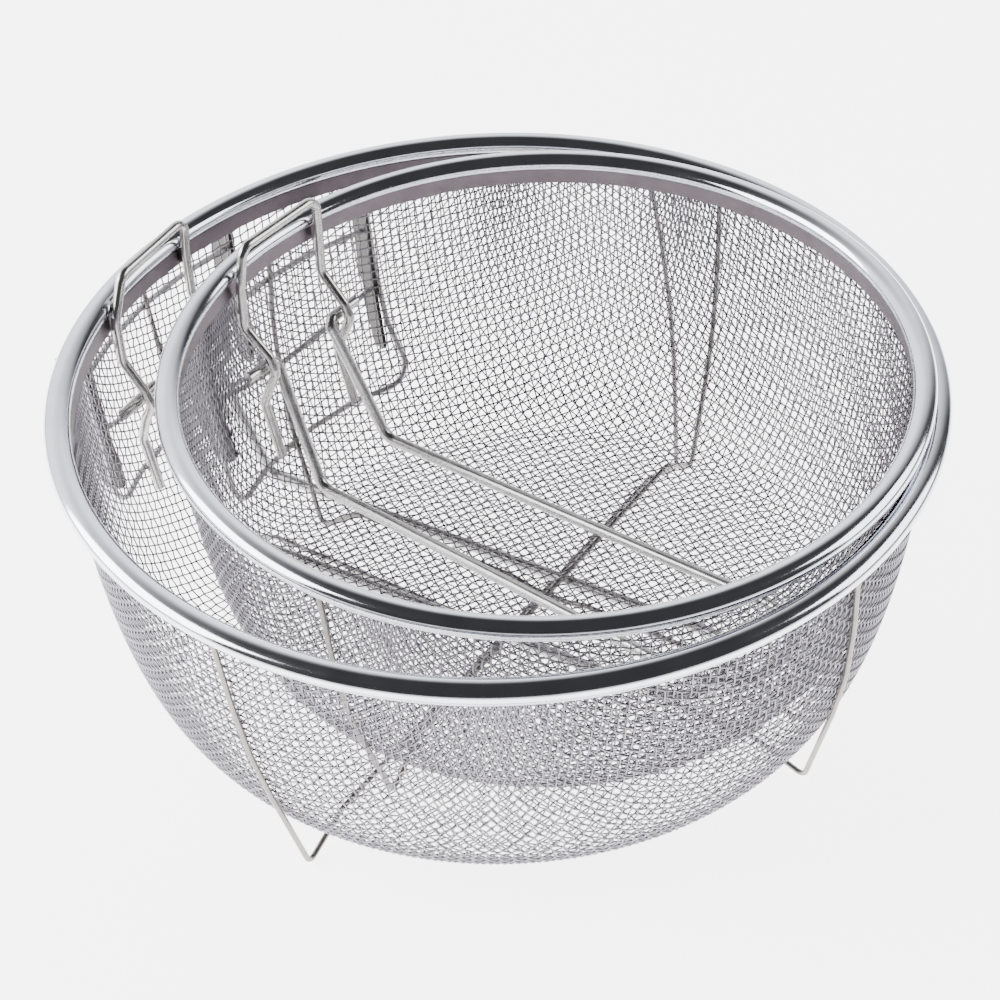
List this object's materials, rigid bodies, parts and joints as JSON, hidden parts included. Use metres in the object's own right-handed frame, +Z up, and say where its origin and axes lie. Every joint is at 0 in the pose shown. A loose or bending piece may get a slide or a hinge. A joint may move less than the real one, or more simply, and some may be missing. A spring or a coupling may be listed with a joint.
{
  "type": "nested basket strainer set",
  "caption": "Nested round woven-wire basket strainers with rolled rims, wire feet and folding wire handles held in hook brackets.",
  "frame": {"origin": "bottom centre of the bounding box: on the large basket's axis, at the height its feet stand on", "axes": "+Z up along the large basket's axis; the large bracket is on -X and its handle folds towards +X"},
  "size_m": [0.28, 0.28, 0.1302],
  "materials": {
    "polished_rim": "mirror-polished stainless steel",
    "band_sheet": "matte satin stainless steel",
    "mesh_wire": "woven stainless wire, bright drawn",
    "foot_steel": "drawn stainless wire, electropolished",
    "bracket_steel": "drawn stainless wire, electropolished",
    "frame_steel": "drawn stainless wire, dull",
    "plate_steel": "pressed stainless sheet, dull",
    "handle_steel": "drawn stainless wire, satin polish"
  },
  "bodies": {
    "large_basket": {"large_rim_tube": "polished_rim", "large_inner_band": "band_sheet", "large_mesh_bowl": "mesh_wire", "large_foot_wire_a": "foot_steel", "large_foot_wire_b": "foot_steel", "large_handle_bracket": "bracket_steel", "large_frame_wire": "frame_steel", "large_mid_bar": "frame_steel", "large_top_bar": "frame_steel", "large_side_plate_left": "plate_steel", "large_side_plate_right": "plate_steel"},
    "large_handle": {"large_handle": "handle_steel"},
    "small_basket": {"small_rim_tube": "polished_rim", "small_inner_band": "band_sheet", "small_mesh_bowl": "mesh_wire", "small_foot_wire_a": "foot_steel", "small_foot_wire_b": "foot_steel", "small_handle_bracket": "bracket_steel", "small_frame_wire": "frame_steel", "small_mid_bar": "frame_steel", "small_top_bar": "frame_steel", "small_side_plate_left": "plate_steel", "small_side_plate_right": "plate_steel"},
    "small_handle": {"small_handle": "handle_steel"}
  },
  "joints": [
    {"name": "small_basket_lift", "type": "slide", "parent": "large_basket", "child": "small_basket", "axis": [0, 0, 1], "range_m": [0, 0.65]},
    {"name": "small_handle_fold", "type": "hinge", "parent": "small_basket", "child": "small_handle", "pos_m": [-0.08823, 0.02173, 0.0841], "axis": [-0.153, -0.9882, 0], "range_deg": [0, 155]},
    {"name": "large_handle_fold", "type": "hinge", "parent": "large_basket", "child": "large_handle", "pos_m": [-0.123, 0, 0.0773], "axis": [0, -1, 0], "range_deg": [0, 155]}
  ],
  "couplings": [
    {"joint": "large_handle_fold", "follows": "small_basket_lift", "rad_per_m": 4.16}
  ]
}
